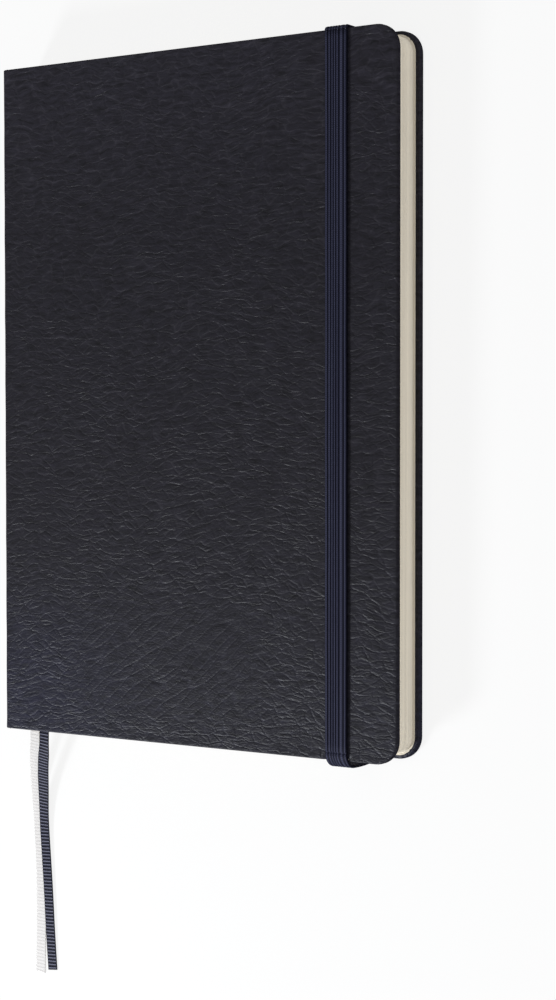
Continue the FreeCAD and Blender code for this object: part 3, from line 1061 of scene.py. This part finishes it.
knit = {
    "stitchPitch": 0.62 * mm,
    "stitchSlant": 1.6,
    "yarns": (2600, 9, 1),
    "ribTones": (12, 1.7, 1),
    "dark": 0.17,
    # the ramp runs from painted shade in the grooves to painted highlight on the ridges
    "tones": [(0.25, (0.0020, 0.0024, 0.0080)), (0.60, (0.0135, 0.0145, 0.0330)),
              (0.97, (0.056, 0.060, 0.105))],
    "bump": 0.05 * mm,
    "specular": 0.12,
}


def elasticMaterial():
    # knitted ribs: the yarn on each ridge painted bright as painted highlight, the grooves painted dark as
    # painted shade, and slanted stitches that swap from rib to rib
    tree = newTree("navyElasticKnit")
    place = tree.surface()
    along, rib, _ = tree.parts(place)
    side = tree.size(tree.math("SUBTRACT", tree.math("FRACT", rib), 0.5))
    ridge = tree.math("SUBTRACT", 1.0, tree.times(side, 2.0))
    slope = tree.line(side, knit["stitchSlant"], tree.times(along, 1 / knit["stitchPitch"]))
    stitch = tree.humps(slope, math.pi)
    yarn = tree.noise(tree.mapped(place, knit["yarns"]), 1.0, 2.0)
    ribTone = tree.noise(tree.mapped(place, knit["ribTones"]), 1.0, 1.0)
    # ridge: where the colour is painted lighter, as painted highlight
    tone = tree.line(ridge, 0.62, tree.times(stitch, 0.22))
    tone = tree.line(yarn, 0.18, tone)
    tone = tree.line(ribTone, 0.35, tree.math("SUBTRACT", tone, knit["dark"]))
    return tree.shade(colour=tree.ramp(tone, *knit["tones"]), roughness=tree.line(yarn, 0.15, 0.62),
                      normal=tree.bump(tree.line(stitch, 0.8, yarn), knit["bump"], 0.9),
                      specular=knit["specular"])


makeElastic(elasticMaterial())


# head and tail bands

endBand = {"wrapPitch": 0.55 * mm, "samplesPerWrap": 6, "around": 18, "wrapDepth": 0.06 * mm,
           "tabThick": 0.2 * mm}


def makeEndBand(node, side, material):
    # a roll along the end of the spine, its radius rippling once for each turn of the covering thread,
    # and the flat tab that holds it, both closed
    low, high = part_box(node)
    radius = (high.x - low.x) / 2
    tip = high.y if side > 0 else low.y
    centre = np.array([(low.x + high.x) / 2, tip - side * radius])
    count = int((high.z - low.z) / endBand["wrapPitch"]) * endBand["samplesPerWrap"]
    z = steps(low.z, high.z, count + 1)
    around = steps(0, 2 * math.pi, endBand["around"] + 1)[:-1]
    twist = around[None, :] / (2 * math.pi) * 0.5
    ripple = np.abs(np.sin(np.pi * (((z - low.z) / endBand["wrapPitch"])[:, None] + twist)))
    taper = np.sqrt(np.clip(1 - (np.abs(z - z.mean()) / (high.z - low.z) * 2) ** 14, 0.02, 1))
    r = (radius - endBand["wrapDepth"] * (1 - ripple ** 0.6)) * taper[:, None]
    roll = np.stack([centre[0] + r * np.cos(around), centre[1] + r * np.sin(around),
                     np.broadcast_to(z[:, None], r.shape)], 2)
    rows, columns = roll.shape[:2]
    rollQuads = gridQuads(rows, columns, wrapColumns=True)
    poles = np.array([[centre[0], centre[1], low.z], [centre[0], centre[1], high.z]])
    total = rows * columns
    k = np.arange(columns)
    nextK = (k + 1) % columns
    lowCap = np.stack([np.full(columns, total), nextK, k], 1)
    highCap = np.stack([np.full(columns, total + 1), total - columns + k, total - columns + nextK], 1)
    tabX = np.array([low.x, low.x + endBand["tabThick"]])
    tabY = np.sort(np.array([low.y, high.y - radius]) if side > 0 else np.array([low.y + radius, high.y]))
    corners = np.array([[a, b, c] for c in (low.z, high.z) for b in tabY for a in tabX])
    first = total + 2
    tab = first + np.array([[0, 1, 3, 2], [4, 6, 7, 5], [0, 4, 5, 1],
                            [2, 3, 7, 6], [0, 2, 6, 4], [1, 5, 7, 3]])
    points = join([roll.reshape(-1, 3), poles, corners])
    faces = rollQuads.tolist() + lowCap.tolist() + highCap.tolist() + tab.tolist()
    piece = makePiece(node + "_wrapped", points, faces)
    tidyMesh(piece, 0.001 * mm)
    giveTo(piece, material, [node], backBody)


def clothMaterial(name, light, dark, rates, bumpDepth, fuzz=3500.0, lightFrom=0.85, rough=(0.12, 0.75)):
    # woven cloth on object coordinates: threads across its length, and crossed ones where a second rate
    # is given, lit where they stand proud
    tree = newTree(name)
    place = tree.inObject()
    thread, crossed = [tree.humps(part, rate) for part, rate in zip(tree.parts(place)[1:], rates)]
    hairs = tree.noise(place, fuzz, 2.0)
    tone = tree.line(hairs, 0.3, tree.times(tree.math("MAXIMUM", thread, crossed), 0.7))
    return tree.shade(colour=tree.ramp(tone, (0.3, dark), (lightFrom, light)), sheen=0.1,
                      roughness=tree.line(hairs, *rough), normal=tree.bump(tone, bumpDepth, 0.9))


bandCloth = clothMaterial("bandCloth", (0.03, 0.034, 0.07), (0.006, 0.007, 0.018), (9000, 9000), 0.03 * mm)
makeEndBand("head_band", 1, bandCloth)
makeEndBand("tail_band", -1, bandCloth)
print("end bands made")


# finishes of the pieces that keep their own shape

def boardMaterial(name, colour, speck):
    # pressed grey board: specks of fibre in the sheet and layered edges
    tree = newTree(name)
    place = tree.inObject()
    fibre = tree.noise(tree.mapped(place, (1, 1, 3)), 900.0, 5.0, 0.65)
    tone = tree.line(tree.noise(place, 120.0), 0.4, tree.times(fibre, 0.6))
    colours = tree.ramp(tone, (0.3, speck), (0.55, colour), (0.9, toned(colour, 1.15)))
    return tree.shade(colour=colours, roughness=tree.line(fibre, 0.1, 0.82),
                      normal=tree.bump(fibre, 0.04 * mm, 0.8), specular=0.15)


def dress(material, *names):
    for name in names:
        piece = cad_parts[name]
        piece.data.materials.clear()
        piece.data.materials.append(material)


greyBoard = boardMaterial("greyBoard", (0.26, 0.25, 0.23), (0.14, 0.13, 0.12))
infillCard = boardMaterial("infillCard", (0.42, 0.36, 0.27), (0.27, 0.22, 0.16))
kraft = boardMaterial("kraftLining", (0.36, 0.24, 0.13), (0.23, 0.15, 0.08))
gauze = clothMaterial("gauzeMull", (0.72, 0.69, 0.60), (0.38, 0.35, 0.28), (3200, 3200), 0.05 * mm)
linen = clothMaterial("linenThread", (0.78, 0.74, 0.64), (0.45, 0.42, 0.34), (12000, 12000), 0.03 * mm)
dress(greyBoard, "front_board", "back_board", "spine_board")
dress(infillCard, "front_infill", "back_infill")
dress(kraft, "spine_lining")
dress(gauze, "spine_mull")
dress(linen, "sewing_thread")
dress(endPaper, "front_pastedown", "back_pastedown", "back_flyleaf")
print("finishes given")


def heldMaterial(name, light, dark):
    # the same ribs across the length of a ribbon's or the elastic's held part
    rates = (math.pi / ribbon["ribPitch"], 0)
    return clothMaterial(name, light, dark, rates, 0.06 * mm, 3000.0, 0.8, (0.1, 0.55))


dress(heldMaterial("lightRibbonHeldCloth", (0.82, 0.80, 0.77), (0.56, 0.54, 0.51)), "light_ribbon_held")
dress(heldMaterial("navyRibbonHeldCloth", (0.085, 0.092, 0.15), (0.006, 0.007, 0.022)), "navy_ribbon_held")
dress(heldMaterial("elasticEndKnit", (0.040, 0.045, 0.080), (0.005, 0.006, 0.016)),
      "elastic_anchor_head", "elastic_anchor_tail")


# floor and light

studio = {
    "floorSize": 24.0,
    "floorDrop": 0.2 * mm,
    "floorColour": (0.12, 0.12, 0.12),
    "floorGlow": 0.85,
    "skyAbove": 0.42,
    "skyBelow": 0.03,
    "foreGain": 2.1,          # how much brighter the sky is towards the fore-edge
    # name: place, target, size, power, colour
    "lamps": {
        "tailKey": ((-0.52, -0.60, 0.50), (0, -0.03, 0), 0.22, 8.3, (0.94, 0.97, 1.0)),
    },
}


def makeStudio():
    half, level = studio["floorSize"] / 2, -studio["floorDrop"]
    corners = np.array([[-half, -half, level], [half, -half, level],
                        [half, half, level], [-half, half, level]])
    floor = makePiece("studioFloor", corners, [[0, 1, 2, 3]])
    tree = newTree("palePaperFloor")
    mottle = tree.noise(tree.inObject(), 3.0, 2.0)
    pale = studio["floorColour"]
    floor.data.materials.append(tree.shade(
        colour=tree.ramp(mottle, (0.2, toned(pale, 0.99)), (0.8, pale)), roughness=0.9, specular=0.1,
        glowColour=(1, 1, 1), glow=studio["floorGlow"]))
    floor.visible_glossy = False

    # the sky is bright above the floor's level and dim below it, and brighter on one side
    world = bpy.data.worlds.new("softStudio")
    sky = Tree(world)
    x, _, z = sky.parts(sky.add("TexCoord", {}, "Generated"))
    rising = sky.range(z, -0.1, 0.1, studio["skyBelow"], studio["skyAbove"])
    foreward = sky.range(x, 0.0, 1.0, 1.0, studio["foreGain"])
    background = sky.nodes["Background"].inputs
    sky.feed(background["Strength"], sky.times(rising, foreward))
    sky.feed(background["Color"], (1, 1, 1))
    bpy.context.scene.world = world
    for name, (place, target, size, power, colour) in studio["lamps"].items():
        data = bpy.data.lights.new(name, "AREA")
        data.shape = "DISK"
        data.size = size
        data.energy = power
        data.color = colour
        lamp = bpy.data.objects.new(name, data)
        turn = (Vector(target) - Vector(place)).to_track_quat("-Z", "Y")
        lamp.matrix_world = Matrix.Translation(place) @ turn.to_matrix().to_4x4()
        bpy.context.scene.collection.objects.link(lamp)


makeStudio()
bpy.context.scene.view_settings.view_transform = "Standard"
print("studio lit")
